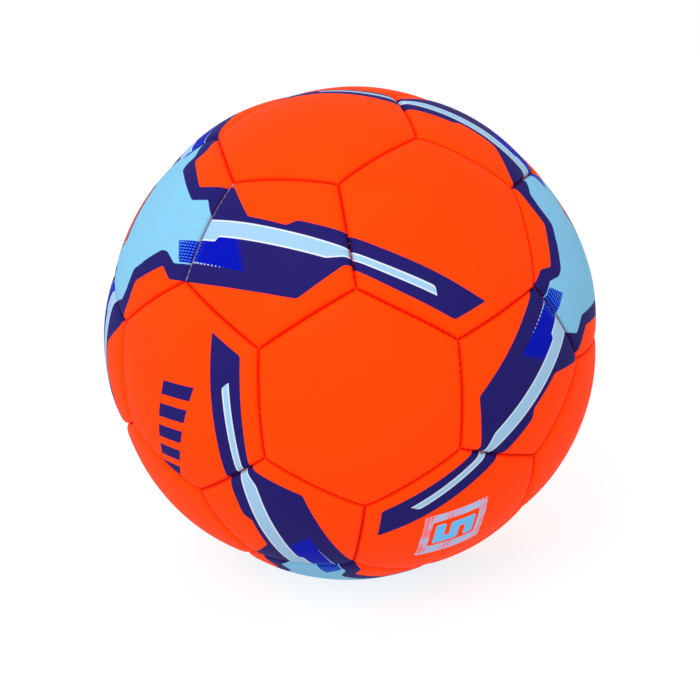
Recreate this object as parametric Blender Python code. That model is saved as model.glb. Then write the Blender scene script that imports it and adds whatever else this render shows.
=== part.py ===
"""A size 5 soccer ball, in metres, +Z up: 20 hexagon and 12 pentagon panels, the thread
in their seams, the rubber bladder and its valve.

The origin is the centre of the ball. One hexagon faces -Y with a corner straight up, and
the valve is in the hexagon that faces +Y.
"""

import math

import bmesh
import bpy
from mathutils import Matrix, Vector

MM = 0.001

# Ball and panels.
BALL_RADIUS = 110.0 * MM  # centre of the ball to the crown of a panel
SEAM_DIP = 2.6 * MM  # crown of a panel down to the mouth of a seam
CROWN_POWER = 3.0  # how late a panel falls away towards its seams
PANEL_THICKNESS = 4.0 * MM  # skin, foam and cloth backing, bonded into one sheet
LIP_WIDTH = 3.5 * MM  # turned-in seam allowance, across the seam
LIP_DROP = 1.2 * MM  # how far the lip stands in from the back of the panel
SEAM_STEPS = 3  # straight steps along each seam

# Seam thread, a square section that stands on its corner in a notch of the same shape.
THREAD_WIDTH = 0.8 * MM
THREAD_DEPTH = 2.2 * MM  # mouth of the seam down to the middle of the thread

# Clearances.
SEAM_GAP = 0.3 * MM  # between the edge faces of two panels
THREAD_CLEARANCE = 0.3 * MM  # between the thread and its notch, and between thread ends
TOUCH_GAP = 0.3 * MM  # between pieces that lie on each other

# Bladder.
BLADDER_WALL = 1.0 * MM
BLADDER_ARC_STEPS = 10  # straight steps from the valve to the far side
BLADDER_TURN_STEPS = 20

# Valve, turned about the line from the ball's centre through the valve.
VALVE_STEM_RADIUS = 4.2 * MM  # the face that shows in the panel
VALVE_RECESS = 0.5 * MM  # crown of the panel down to the valve's face
VALVE_BOSS_RADIUS = 5.5 * MM  # the part inside the bladder
VALVE_BOSS_LENGTH = 11.0 * MM
FLANGE_RADIUS = 14.0 * MM
FLANGE_THICKNESS = 1.2 * MM
PATCH_RADIUS = 20.0 * MM
PATCH_THICKNESS = 0.8 * MM
INSERT_RADIUS = 2.6 * MM
INSERT_LENGTH = 10.0 * MM
INSERT_ROOF = 2.0 * MM  # valve rubber above the insert
NEEDLE_HOLE_RADIUS = 0.8 * MM
SLIT_LENGTH = 3.0 * MM  # foot of the insert that a needle has to push open
DRAIN_RADIUS = 1.6 * MM  # opening of the boss into the bladder
VALVE_TURN_STEPS = 20
VALVE_ARC_STEPS = 3

# What follows from the sizes above.
SEAM_RADIUS = BALL_RADIUS - SEAM_DIP
THREAD_RADIUS = SEAM_RADIUS - THREAD_DEPTH
THREAD_REACH = THREAD_WIDTH / math.sqrt(2.0)
NOTCH_REACH = THREAD_REACH + THREAD_CLEARANCE * math.sqrt(2.0)
LINING_RADIUS = SEAM_RADIUS - PANEL_THICKNESS
LIP_RADIUS = LINING_RADIUS - LIP_DROP

# Tolerances of the modelling itself.
SAME_PLACE = 1e-5  # on the unit sphere
MERGE_DISTANCE = 0.001 * MM

# Colours, sRGB.
ORANGE = "FE5316"
NAVY = "2F2A73"
SKY_BLUE = "9AD1F4"
THREAD_RED = "B3321A"
BUTYL_BLACK = "17181A"
VALVE_RUBBER = "E9E4D6"
SILICONE = "C9C6BE"


def material(name, colour, roughness):
    """A Principled BSDF material with an sRGB base colour."""
    made = bpy.data.materials.new(name)
    made.use_nodes = True
    shader = made.node_tree.nodes["Principled BSDF"]
    channels = [int(colour[i:i + 2], 16) / 255.0 for i in (0, 2, 4)]
    linear = [c / 12.92 if c <= 0.04045 else ((c + 0.055) / 1.055) ** 2.4 for c in channels]
    shader.inputs["Base Color"].default_value = (*linear, 1.0)
    shader.inputs["Roughness"].default_value = roughness
    shader.inputs["Metallic"].default_value = 0.0
    return made


def finish_mesh(bm, name, finish):
    """Turn a bmesh into a mesh with its faces pointing out, smooth but for sharp edges."""
    bmesh.ops.recalc_face_normals(bm, faces=bm.faces[:])
    mesh = bpy.data.meshes.new(name)
    bm.to_mesh(mesh)
    bm.free()
    mesh.materials.append(finish)
    mesh.shade_smooth()
    mesh.set_sharp_from_angle(angle=math.radians(30.0))
    return mesh


def add_piece(name, mesh, parent, turn):
    """Place a mesh that is modelled with the ball's centre at its origin."""
    piece = bpy.data.objects.new(name, mesh)
    bpy.context.collection.objects.link(piece)
    piece.parent = parent
    piece.matrix_world = turn.to_4x4()
    return piece


def ball_net():
    """Corner directions of the panels, anticlockwise seen from outside.

    An icosahedron with its corners cut off at a third of each edge has one face for each
    panel. The net is turned so that a hexagon faces -Y with a pentagon towards +X of it.
    """
    bm = bmesh.new()
    bmesh.ops.create_icosphere(bm, subdivisions=1, radius=1.0)
    bmesh.ops.bevel(
        bm, geom=bm.verts[:], offset=100.0 / 3.0, offset_type="PERCENT",
        affect="VERTICES", segments=1, profile=0.5, material=-1,
    )
    front_face = next(face for face in bm.faces if len(face.verts) == 6)
    side_face = next(
        other for edge in front_face.edges for other in edge.link_faces if len(other.verts) == 5
    )
    y_axis = -front_face.calc_center_median().normalized()
    side = side_face.calc_center_median()
    x_axis = (side - y_axis * side.dot(y_axis)).normalized()
    turn = Matrix((x_axis, y_axis, x_axis.cross(y_axis)))
    panels = [[(turn @ vert.co).normalized() for vert in face.verts] for face in bm.faces]
    bm.free()
    return sorted(panels, key=panel_order)


def panel_centre(corners):
    """Direction of a panel's middle."""
    return sum(corners, Vector()).normalized()


def panel_order(corners):
    """Front to back, and anticlockwise from +X within each ring of panels."""
    centre = panel_centre(corners)
    angle = math.degrees(math.atan2(centre.z, centre.x))
    return (round(centre.y, 3), round(angle) % 360)


def panel_turn(corners):
    """Rotation that takes +Z to a panel's middle and +X towards its first corner."""
    z_axis = panel_centre(corners)
    x_axis = (corners[0] - z_axis * corners[0].dot(z_axis)).normalized()
    return Matrix((x_axis, z_axis.cross(x_axis), z_axis)).transposed()


def local_corners(corners):
    """The corner directions of a panel as seen in its own frame."""
    back = panel_turn(corners).transposed()
    return [back @ corner for corner in corners]


def seam_tangent(start, end):
    """Direction at start of the great circle to end."""
    return (end - start * end.dot(start)).normalized()


def corner_inward(tangent_a, tangent_b):
    """Shift of a corner between two seams for an inset of one on both of them."""
    middle = (tangent_a + tangent_b).normalized()
    half_angle = tangent_a.angle(tangent_b) / 2.0
    return middle / math.sin(half_angle)


def seam_normal(start, end):
    """Direction across a seam, to the left of the way from start to end."""
    return start.cross(end).normalized()


def seam_point(start, end, share):
    """Unit direction at a share of the straight line between two corners."""
    return start.lerp(end, share).normalized()


def crown_radius(nearness):
    """Outer radius of a panel, from its middle (0) to its seams (1)."""
    return BALL_RADIUS - SEAM_DIP * nearness ** CROWN_POWER


def rim_shift(point, flat, corners):
    """Shift of a point on the panel's rim for an inset of one, or none inside the rim."""
    for i, corner in enumerate(corners):
        after = corners[(i + 1) % len(corners)]
        if (point - flat[i]).length < SAME_PLACE:
            before = corners[i - 1]
            return corner_inward(seam_tangent(corner, before), seam_tangent(corner, after))
    for i, corner in enumerate(corners):
        normal = seam_normal(corner, corners[(i + 1) % len(corners)])
        if abs(point.dot(normal)) < SAME_PLACE:
            return normal
    return None


def panel_mesh(name, corners, finish):
    """One domed panel with its turned-in lip and the notch for the thread.

    A flat polygon that touches the unit sphere is poked and subdivided. It becomes the
    skin, a copy of it becomes the lining, and the skin's rim is extruded down the seam
    face and round the lip until it meets the lining.
    """
    bm = bmesh.new()
    along = bm.verts.layers.float_vector.new("along")
    inward = bm.verts.layers.float_vector.new("inward")
    flat = [corner / corner.z for corner in corners]
    face = bm.faces.new([bm.verts.new(point) for point in flat])
    bmesh.ops.poke(bm, faces=[face])
    bmesh.ops.subdivide_edges(bm, edges=bm.edges[:], cuts=SEAM_STEPS - 1, use_grid_fill=True)
    rim = [edge for edge in bm.edges if edge.is_boundary]
    skin = bm.verts[:]
    copied = bmesh.ops.duplicate(bm, geom=bm.verts[:] + bm.edges[:] + bm.faces[:])
    lining = [copied["vert_map"][vert] for vert in skin]

    sides = [(flat[i - 1] + flat[i]).xy / 2.0 for i in range(len(flat))]
    apothem = sides[0].length
    shrink = 1.0 - LIP_WIDTH / (BALL_RADIUS * math.atan(apothem))
    for upper, lower in zip(skin, lining):
        point = upper.co.copy()
        shift = rim_shift(point, flat, corners)
        if shift:
            for vert in (upper, lower):
                vert[along] = point.normalized()
                vert[inward] = shift
            upper.co = upper[along] * SEAM_RADIUS + shift * (SEAM_GAP / 2.0)
            lower.co = upper[along] * LINING_RADIUS + shift * LIP_WIDTH
            continue
        nearness = max(point.xy.dot(side) for side in sides) / apothem ** 2
        radius = crown_radius(nearness)
        narrowed = Vector((point.x * shrink, point.y * shrink, 1.0)).normalized()
        upper.co = point.normalized() * radius
        lower.co = narrowed * (radius - PANEL_THICKNESS)

    mouth = NOTCH_REACH - SEAM_GAP / 2.0
    rim_profile = (
        (THREAD_RADIUS + mouth, SEAM_GAP / 2.0),
        (THREAD_RADIUS, NOTCH_REACH),
        (THREAD_RADIUS - mouth, SEAM_GAP / 2.0),
        (LIP_RADIUS, SEAM_GAP / 2.0),
        (LIP_RADIUS, LIP_WIDTH),
        (LINING_RADIUS, LIP_WIDTH),
    )
    for radius, inset in rim_profile:
        grown = bmesh.ops.extrude_edge_only(bm, edges=rim)["geom"]
        rim = [item for item in grown if isinstance(item, bmesh.types.BMEdge) and item.is_boundary]
        for vert in (item for item in grown if isinstance(item, bmesh.types.BMVert)):
            vert.co = vert[along] * radius + vert[inward] * inset
    bmesh.ops.remove_doubles(bm, verts=bm.verts[:], dist=MERGE_DISTANCE)
    return finish_mesh(bm, name, finish)


def thread_section(direction, side):
    """Corners of the thread's section on a seam: outer, left, inner and right."""
    middle = direction * THREAD_RADIUS
    shifts = (direction, side, -direction, -side)
    return [middle + shift * THREAD_REACH for shift in shifts]


def join_sections(bm, rings):
    """Faces between the thread's sections, one after another."""
    for ring, following in zip(rings, rings[1:]):
        for i in range(4):
            bm.faces.new((ring[i - 1], ring[i], following[i], following[i - 1]))


def thread_knot(bm, corner, back, ahead, away):
    """Where three lengths of thread meet: one vertex on each side of the three."""
    middle = corner * THREAD_RADIUS
    shifts = {
        "outer": corner,
        "inner": -corner,
        "panel": corner_inward(back, ahead),
        "ahead": corner_inward(ahead, away),
        "back": corner_inward(away, back),
    }
    return {name: bm.verts.new(middle + shift * THREAD_REACH) for name, shift in shifts.items()}


def branch_sections(corner, far_corner):
    """Sections on a seam from its first step to just short of its middle."""
    side = seam_normal(corner, far_corner)
    shares = [step / SEAM_STEPS for step in range(1, SEAM_STEPS) if 2 * step < SEAM_STEPS]
    sections = [thread_section(seam_point(corner, far_corner, share), side) for share in shares]
    beyond = thread_section(seam_point(corner, far_corner, 1.0 - shares[-1]), side)
    step_length = (beyond[0] - sections[-1][0]).length
    share = 0.5 - THREAD_CLEARANCE / 2.0 / step_length
    ends = zip(sections[-1], beyond)
    sections.append([start.lerp(end, share) for start, end in ends])
    return sections


def thread_mesh(name, corners, finish):
    """The thread round one pentagon, with half of each seam that leads away from it."""
    bm = bmesh.new()
    middle = panel_centre(corners)
    seam_angle = corners[0].angle(corners[1])
    knots, away = [], []
    for i, corner in enumerate(corners):
        back = seam_tangent(corner, corners[i - 1])
        ahead = seam_tangent(corner, corners[(i + 1) % len(corners)])
        away.append(-seam_tangent(corner, middle))
        knots.append(thread_knot(bm, corner, back, ahead, away[i]))

    for i, corner in enumerate(corners):
        knot = knots[i]
        following = (i + 1) % len(corners)
        side = seam_normal(corner, corners[following])
        rings = [[knot["outer"], knot["panel"], knot["inner"], knot["ahead"]]]
        for step in range(1, SEAM_STEPS):
            direction = seam_point(corner, corners[following], step / SEAM_STEPS)
            rings.append([bm.verts.new(place) for place in thread_section(direction, side)])
        knot_after = knots[following]
        rings.append([knot_after[key] for key in ("outer", "panel", "inner", "back")])
        join_sections(bm, rings)

        far_corner = corner * math.cos(seam_angle) + away[i] * math.sin(seam_angle)
        rings = [[knot["outer"], knot["ahead"], knot["inner"], knot["back"]]]
        for section in branch_sections(corner, far_corner):
            rings.append([bm.verts.new(place) for place in section])
        join_sections(bm, rings)
        bm.faces.new(rings[-1])
    return finish_mesh(bm, name, finish)


def turned_mesh(name, outline, steps, finish):
    """A closed outline of (distance from the axis, height) points, spun round +Z."""
    bm = bmesh.new()
    verts = [bm.verts.new((reach, 0.0, height)) for reach, height in outline]
    edges = [bm.edges.new((verts[i - 1], vert)) for i, vert in enumerate(verts)]
    bmesh.ops.spin(
        bm, geom=verts + edges, cent=(0.0, 0.0, 0.0), axis=(0.0, 0.0, 1.0),
        dvec=(0.0, 0.0, 0.0), angle=math.tau, steps=steps, use_merge=True, use_duplicate=False,
    )
    bmesh.ops.remove_doubles(bm, verts=bm.verts[:], dist=MERGE_DISTANCE)
    bmesh.ops.dissolve_degenerate(bm, edges=bm.edges[:], dist=MERGE_DISTANCE)
    return finish_mesh(bm, name, finish)


def arc(radius, reach_from, reach_to, steps):
    """Points on a sphere about the ball's centre, from one distance from the axis to another."""
    reaches = [reach_from + (reach_to - reach_from) * i / steps for i in range(steps + 1)]
    return [(reach, math.sqrt(radius ** 2 - reach ** 2)) for reach in reaches]


def lip_floor(corner, following):
    """Distance from the ball's centre to the lowest place under a lip's straight steps."""
    first_step = seam_point(corner, following, (SEAM_STEPS // 2) / SEAM_STEPS)
    next_step = seam_point(corner, following, (SEAM_STEPS // 2 + 1) / SEAM_STEPS)
    return LIP_RADIUS * math.cos(first_step.angle(next_step) / 2.0)


def bladder_outline(radius, hole_radius):
    """Both faces of the bladder's wall, from the valve's hole to the far side and back."""
    outline = []
    for shell, order in ((radius, 1), (radius - BLADDER_WALL, -1)):
        start = math.asin(hole_radius / shell)
        angles = [
            start + (math.pi - start) * i / BLADDER_ARC_STEPS for i in range(BLADDER_ARC_STEPS + 1)
        ]
        points = [(shell * math.sin(angle), shell * math.cos(angle)) for angle in angles]
        points[-1] = (0.0, -shell)
        outline += points[::order]
    return outline


def valve_outlines(bladder_radius):
    """Outlines of the valve's body, insert and patch, stacked on the bladder."""
    patch_floor = bladder_radius + TOUCH_GAP
    patch_top = patch_floor + PATCH_THICKNESS
    flange_floor = patch_top + TOUCH_GAP
    flange_top = flange_floor + FLANGE_THICKNESS
    face = BALL_RADIUS - VALVE_RECESS
    insert_top = face - INSERT_ROOF - TOUCH_GAP
    insert_foot = insert_top - INSERT_LENGTH
    boss_foot = flange_floor - VALVE_BOSS_LENGTH
    chamber = INSERT_RADIUS + TOUCH_GAP

    body = [(NEEDLE_HOLE_RADIUS, face), (VALVE_STEM_RADIUS, face)]
    body += arc(flange_top, VALVE_STEM_RADIUS, FLANGE_RADIUS, VALVE_ARC_STEPS)
    body += arc(flange_floor, FLANGE_RADIUS, VALVE_BOSS_RADIUS, VALVE_ARC_STEPS)
    body += [
        (VALVE_BOSS_RADIUS, boss_foot),
        (DRAIN_RADIUS, boss_foot),
        (DRAIN_RADIUS, insert_foot - TOUCH_GAP),
        (chamber, insert_foot - TOUCH_GAP),
        (chamber, insert_top + TOUCH_GAP),
        (NEEDLE_HOLE_RADIUS, insert_top + TOUCH_GAP),
    ]
    insert = [
        (NEEDLE_HOLE_RADIUS, insert_top),
        (INSERT_RADIUS, insert_top),
        (INSERT_RADIUS, insert_foot),
        (0.0, insert_foot),
        (0.0, insert_foot + SLIT_LENGTH),
        (NEEDLE_HOLE_RADIUS, insert_foot + SLIT_LENGTH),
    ]
    patch_hole = VALVE_BOSS_RADIUS + TOUCH_GAP
    patch = arc(patch_floor, patch_hole, PATCH_RADIUS, VALVE_ARC_STEPS)
    patch += arc(patch_top, PATCH_RADIUS, patch_hole, VALVE_ARC_STEPS)
    return body, insert, patch


def cut_valve_hole(panel):
    """Drill the valve's hole through the middle of a panel."""
    bm = bmesh.new()
    hole_radius = VALVE_STEM_RADIUS + TOUCH_GAP
    bmesh.ops.create_cone(
        bm, cap_ends=True, segments=VALVE_TURN_STEPS, radius1=hole_radius, radius2=hole_radius,
        depth=4.0 * PANEL_THICKNESS, matrix=Matrix.Translation((0.0, 0.0, BALL_RADIUS)),
    )
    mesh = bpy.data.meshes.new("valve_hole_cutter")
    bm.to_mesh(mesh)
    bm.free()
    cutter = add_piece("valve_hole_cutter", mesh, panel.parent, panel.matrix_world.to_3x3())
    cutter.hide_render = True
    cutter.display_type = "WIRE"
    hole = panel.modifiers.new("valve hole", "BOOLEAN")
    hole.operation = "DIFFERENCE"
    hole.solver = "EXACT"
    hole.object = cutter


def star_panels(hexagons):
    """Places in the list of the four hexagons with the star print.

    They are the last hexagon, at the back, and the three that stand as far from it and
    from each other as the corners of a tetrahedron do.
    """
    stars = [len(hexagons) - 1]
    for place, corners in enumerate(hexagons):
        middle = panel_centre(corners)
        spread = [middle.dot(panel_centre(hexagons[star])) for star in stars]
        if all(abs(share + 1.0 / 3.0) < 0.01 for share in spread):
            stars.append(place)
    return stars


def build_ball():
    """Model every piece and hang it on one empty at the ball's centre."""
    ball = bpy.data.objects.new("ball", None)
    bpy.context.collection.objects.link(ball)
    net = ball_net()
    hexagons = [corners for corners in net if len(corners) == 6]
    pentagons = [corners for corners in net if len(corners) == 5]

    orange_skin = material("orange_skin", ORANGE, 0.42)
    sky_skin = material("sky_skin", SKY_BLUE, 0.42)
    navy_skin = material("navy_skin", NAVY, 0.42)
    thread = material("polyester_thread", THREAD_RED, 0.6)
    butyl = material("butyl_rubber", BUTYL_BLACK, 0.5)
    valve_rubber = material("valve_rubber", VALVE_RUBBER, 0.55)
    silicone = material("silicone", SILICONE, 0.35)

    hex_corners = local_corners(hexagons[0])
    hex_mesh = panel_mesh("hexagon", hex_corners, orange_skin)
    star_mesh = panel_mesh("star_hexagon", hex_corners, sky_skin)
    stars = star_panels(hexagons)
    for place, corners in enumerate(hexagons):
        mesh = star_mesh if place in stars else hex_mesh
        panel = add_piece(f"hex_panel_{place + 1:02d}", mesh, ball, panel_turn(corners))
    cut_valve_hole(panel)

    pent_corners = local_corners(pentagons[0])
    pent_mesh = panel_mesh("pentagon", pent_corners, navy_skin)
    seam_mesh = thread_mesh("pentagon_seams", pent_corners, thread)
    for number, corners in enumerate(pentagons, start=1):
        turn = panel_turn(corners)
        add_piece(f"pent_panel_{number:02d}", pent_mesh, ball, turn)
        add_piece(f"seam_thread_{number:02d}", seam_mesh, ball, turn)

    valve_turn = panel_turn(hexagons[-1])
    bladder_radius = lip_floor(pent_corners[0], pent_corners[1]) - TOUCH_GAP
    outline = bladder_outline(bladder_radius, VALVE_BOSS_RADIUS + TOUCH_GAP)
    bladder = turned_mesh("bladder", outline, BLADDER_TURN_STEPS, butyl)
    add_piece("bladder", bladder, ball, valve_turn)
    body, insert, patch = valve_outlines(bladder_radius)
    turned = (
        ("valve_body", body, valve_rubber),
        ("valve_insert", insert, silicone),
        ("valve_patch", patch, butyl),
    )
    for name, outline, finish in turned:
        mesh = turned_mesh(name, outline, VALVE_TURN_STEPS, finish)
        add_piece(name, mesh, ball, valve_turn)


for item in list(bpy.data.objects):
    bpy.data.objects.remove(item, do_unlink=True)
build_ball()
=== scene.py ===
"""Looks of the size 5 soccer ball: 20 hexagon and 12 pentagon panels in printed orange
PU, the thread in their seams, the butyl bladder and its valve.

The ball's centre is the origin and the valve faces +Y.
"""

import math

import bmesh
import bpy
from mathutils import Matrix, Vector, noise


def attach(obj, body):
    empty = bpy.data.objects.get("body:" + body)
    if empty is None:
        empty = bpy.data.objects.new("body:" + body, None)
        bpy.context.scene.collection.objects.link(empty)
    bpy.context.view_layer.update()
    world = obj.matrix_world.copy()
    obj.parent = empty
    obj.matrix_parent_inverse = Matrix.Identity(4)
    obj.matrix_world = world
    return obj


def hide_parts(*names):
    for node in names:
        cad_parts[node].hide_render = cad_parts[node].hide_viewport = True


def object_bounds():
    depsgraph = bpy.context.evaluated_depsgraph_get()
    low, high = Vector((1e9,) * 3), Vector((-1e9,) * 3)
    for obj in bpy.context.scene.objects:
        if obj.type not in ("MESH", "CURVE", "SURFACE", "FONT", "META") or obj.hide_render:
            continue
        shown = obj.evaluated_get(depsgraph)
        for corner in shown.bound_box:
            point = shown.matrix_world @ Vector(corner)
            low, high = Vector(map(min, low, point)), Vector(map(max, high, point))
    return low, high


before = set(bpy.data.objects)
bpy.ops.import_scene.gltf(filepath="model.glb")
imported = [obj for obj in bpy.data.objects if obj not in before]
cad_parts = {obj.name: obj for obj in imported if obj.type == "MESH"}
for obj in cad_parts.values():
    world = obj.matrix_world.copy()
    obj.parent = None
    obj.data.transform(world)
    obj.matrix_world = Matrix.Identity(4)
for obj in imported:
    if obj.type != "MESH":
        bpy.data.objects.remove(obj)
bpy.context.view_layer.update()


# ---- Plain hexagon panels --------------------------------------------------------------
# Four hexagons without a print. Each is a sheet of orange PU skin bonded to foam and cloth,
# cut flat, machine-stitched to its neighbours inside out, and domed by the air inside. Its
# edges are rolled down into the seams, and each stitch pulls them in a little.

MM = 0.001
CROWN = 110.0 * MM  # centre of the ball to the crown of a panel
CROWN_DROP = 1.5 * MM  # slow fall of the dome from its crown to the seams
CROWN_POWER = 2.6
ROLL_DROP = 1.9 * MM  # quick fall of the rolled edge into the seam
ROLL_WIDTH = 1.2 * MM
STITCHES = 16  # along each seam
PUCKER = 0.22 * MM  # how far a stitch pulls the edge in
PUCKER_REACH = 1.2 * MM
SEAM_GAP = 0.1 * MM
SEAM_WANDER = 0.35 * MM  # how far a seam strays from its true line
WANDER_SEED = 7  # keeps the wander the same each time the ball is made
UNEVENNESS = 0.18 * MM  # how far a face stands off its dome, in waves of 25 mm or so
SHEET_THICKNESS = 4.0 * MM
HOLE_ROUNDING = 0.35 * MM  # how far the edge of a hole is pressed in
HOLE_ROUNDING_REACH = 0.7 * MM
SEAM_STEPS = 64
EDGE_GRADING = 1.5  # draws the mesh together towards the seams
# Radius and inset of the edge face, the notch that holds the thread, and the lip, in
# millimetres, and the radius of the rim from which the depth down the edge is counted.
EDGE_PROFILE = ((105.9, 0.0), (105.7, 0.15), (105.2, 1.0), (104.4, 0.15), (102.3, 0.0),
                (102.3, 3.4), (103.3, 3.5))
RIM_RADIUS = 106.5
LINING_SHARES = (0.84, 0.62, 0.36, 0.0)  # places of the lining's rings, rim to middle
HOLE_DEPTHS = (0.8, 4.0)  # of the rings down a hole's wall, in millimetres

ORANGE_DARK = "FB3A02"
ORANGE_LIGHT = "FF3F04"
FOAM_WHITE = "E8E3D8"
# Painted shade: a deeper red multiplied into the face by the seams, for the shade in the groove.
SEAM_SHADE_TINT = "F0909A"
SEAM_SHADE_REACH = (-1.1, -0.2)  # where the painted shade by the seam starts and is full, in mm below the rim
SKIN_END = (0.85, 0.95)  # where the skin gives way to foam, in mm below the rim


def ball_net():
    """Corner directions of the panels, anticlockwise seen from outside, front to back.

    An icosahedron with its corners cut off at a third of each edge has one face for each
    panel. It is turned so that a hexagon faces -Y with a pentagon towards +X of it.
    """
    bm = bmesh.new()
    bmesh.ops.create_icosphere(bm, subdivisions=1, radius=1.0)
    bmesh.ops.bevel(
        bm, geom=bm.verts[:], offset=100.0 / 3.0, offset_type="PERCENT",
        affect="VERTICES", segments=1, profile=0.5, material=-1,
    )
    front_face = next(face for face in bm.faces if len(face.verts) == 6)
    side_face = next(
        other for edge in front_face.edges for other in edge.link_faces if len(other.verts) == 5
    )
    y_axis = -front_face.calc_center_median().normalized()
    side = side_face.calc_center_median()
    x_axis = (side - y_axis * side.dot(y_axis)).normalized()
    turn = Matrix((x_axis, y_axis, x_axis.cross(y_axis)))
    panels = [[(turn @ vert.co).normalized() for vert in face.verts] for face in bm.faces]
    bm.free()
    return sorted(panels, key=panel_order)


def middle_of(corners):
    """Direction of a panel's middle."""
    return sum(corners, Vector()).normalized()


def panel_order(corners):
    """Front to back, and anticlockwise from +X within each ring of panels."""
    middle = middle_of(corners)
    angle = math.degrees(math.atan2(middle.z, middle.x))
    return (round(middle.y, 3), round(angle) % 360)


def seam_turn(corners):
    """Angle at the ball's centre from one end of a seam to the other."""
    return corners[0].angle(corners[1])


net = ball_net()
hexagons = [corners for corners in net if len(corners) == 6]
pentagons = [corners for corners in net if len(corners) == 5]
STITCH_PITCH = CROWN * seam_turn(hexagons[0]) / STITCHES
noise.seed_set(WANDER_SEED)


def strayed(direction):
    """A direction on the ball, moved as a hand-guided seam strays from its true line."""
    stray = noise.noise_vector(direction * 4.0) * (SEAM_WANDER / CROWN)
    return (direction + stray - direction * stray.dot(direction)).normalized()


def face_radius(point, sides):
    """Radius of a panel's face over a point of its flat outline."""
    dome = 1.0
    roll = 1.0
    pull = 0.0
    for side in sides:
        apothem = side.length
        across = side / apothem
        inside = max(0.0, apothem - point.dot(across))
        dome *= 1.0 - max(0.0, 1.0 - inside / apothem) ** CROWN_POWER
        roll *= 1.0 - math.exp(-inside / ROLL_WIDTH)
        run = CROWN * math.atan(point.cross(across) / math.hypot(CROWN, apothem))
        phase = math.cos(math.tau * (run / STITCH_PITCH - 0.5))
        pull += math.exp(-inside / PUCKER_REACH) * phase
    return CROWN - CROWN_DROP * (1.0 - dome) - ROLL_DROP * (1.0 - roll) - PUCKER * pull


def panel(name, corners, toward, slip=(0.0, 0.0), hole=0.0):
    """One domed panel, closed all round, with its print's place kept on its vertices.

    The place is x and y on the print and the depth below the rim, which is minus the
    distance from the rim on the face. All are in millimetres.

    The flat outline is divided into a fine grid that tightens towards the seams. The grid
    is domed, then its rim is extruded down the edge face, round the lip and over the
    lining. The print's x axis points towards a given direction, and slip moves the print.
    """
    middle = middle_of(corners)
    x_axis = (toward - middle * toward.dot(middle)).normalized()
    turn = Matrix((x_axis, middle.cross(x_axis), middle)).transposed()
    local = [turn.transposed() @ corner for corner in corners]
    outline = [corner * (CROWN / corner.z) for corner in local]
    sides = [(outline[i - 1] + outline[i]).xy / 2.0 for i in range(len(outline))]
    apothem = sides[0].length
    first = hole / outline[0].xy.length

    bm = bmesh.new()
    flat = bm.verts.layers.float_vector.new("flat")
    print_place = bm.verts.layers.float_vector.new("print_place")
    outer = [bm.verts.new((point.x, point.y, 0.0)) for point in outline]
    if hole:
        inner = [bm.verts.new(vert.co * first) for vert in outer]
        for i in range(len(outer)):
            bm.faces.new((inner[i - 1], outer[i - 1], outer[i], inner[i]))
        cuts = SEAM_STEPS - 1
    else:
        centre = bm.verts.new((0.0, 0.0, 0.0))
        halves = [bm.verts.new((side.x, side.y, 0.0)) for side in sides]
        for i in range(len(outer)):
            bm.faces.new((centre, halves[i], outer[i], halves[(i + 1) % len(outer)]))
        cuts = SEAM_STEPS // 2 - 1
    bmesh.ops.subdivide_edges(bm, edges=bm.edges[:], cuts=cuts, use_grid_fill=True)

    def place(vert, point, radius, depth):
        """Put a vertex over a flat point at a radius, and note where the print falls."""
        inset = point * (1.0 - SEAM_GAP / 2.0 / apothem)
        direction = strayed((turn @ Vector((inset.x, inset.y, CROWN))).normalized())
        vert.co = direction * (radius + UNEVENNESS * noise.noise(direction * 4.5))
        vert[print_place] = (vert[flat].x / MM - slip[0], vert[flat].y / MM - slip[1], depth)

    for vert in bm.verts:
        point = vert.co.xy
        nearness = max(point.dot(side) for side in sides) / apothem ** 2
        if nearness > 0.0:
            share = max(0.0, 1.0 - (nearness - first) / (1.0 - first))
            reach = 1.0 - share ** EDGE_GRADING
            length = hole * (1.0 - reach) + point.length / nearness * reach
            point = point.normalized() * length
        vert[flat] = (point.x, point.y, 0.0)
        radius = face_radius(point, sides)
        if hole:
            radius -= HOLE_ROUNDING * math.exp((hole - point.length) / HOLE_ROUNDING_REACH)
        inside = apothem - max(point.dot(side) for side in sides) / apothem
        place(vert, point, radius, -inside / MM)

    boundary = [edge for edge in bm.edges if edge.is_boundary]
    rim = [edge for edge in boundary if edge.verts[0][flat].length > apothem / 2.0]
    hole_rim = [edge for edge in boundary if edge.verts[0][flat].length < apothem / 2.0]

    def extruded(edges):
        """The next ring of edges and its vertices."""
        grown = bmesh.ops.extrude_edge_only(bm, edges=edges)["geom"]
        verts = [item for item in grown if isinstance(item, bmesh.types.BMVert)]
        edges = [item for item in grown if isinstance(item, bmesh.types.BMEdge)]
        return [edge for edge in edges if edge.is_boundary], verts

    for radius, inset in EDGE_PROFILE:
        rim, verts = extruded(rim)
        for vert in verts:
            point = vert[flat].xy * (1.0 - inset * MM / apothem)
            place(vert, point, radius * MM, RIM_RADIUS - radius)
    for share in LINING_SHARES:
        rim, verts = extruded(rim)
        for vert in verts:
            outward = vert[flat].xy
            point = outward * share + outward.normalized() * hole * (1.0 - share)
            radius = face_radius(point, sides) - SHEET_THICKNESS
            place(vert, point, radius, SHEET_THICKNESS / MM)
    if hole:
        for depth in HOLE_DEPTHS:
            hole_rim, verts = extruded(hole_rim)
            for vert in verts:
                point = vert[flat].xy
                place(vert, point, face_radius(point, sides) - depth * MM, depth)
    bmesh.ops.remove_doubles(bm, verts=bm.verts[:], dist=0.01 * MM)
    bmesh.ops.recalc_face_normals(bm, faces=bm.faces[:])
    bm.verts.layers.float_vector.remove(flat)
    return finished_piece(name, bm)


def finished_piece(name, bm):
    """A smooth-shaded object from a bmesh that is already in its place on the ball."""
    mesh = bpy.data.meshes.new(name)
    bm.to_mesh(mesh)
    bm.free()
    mesh.shade_smooth()
    mesh.set_sharp_from_angle(angle=math.radians(50.0))
    piece = bpy.data.objects.new(name, mesh)
    bpy.context.collection.objects.link(piece)
    return piece


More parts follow.
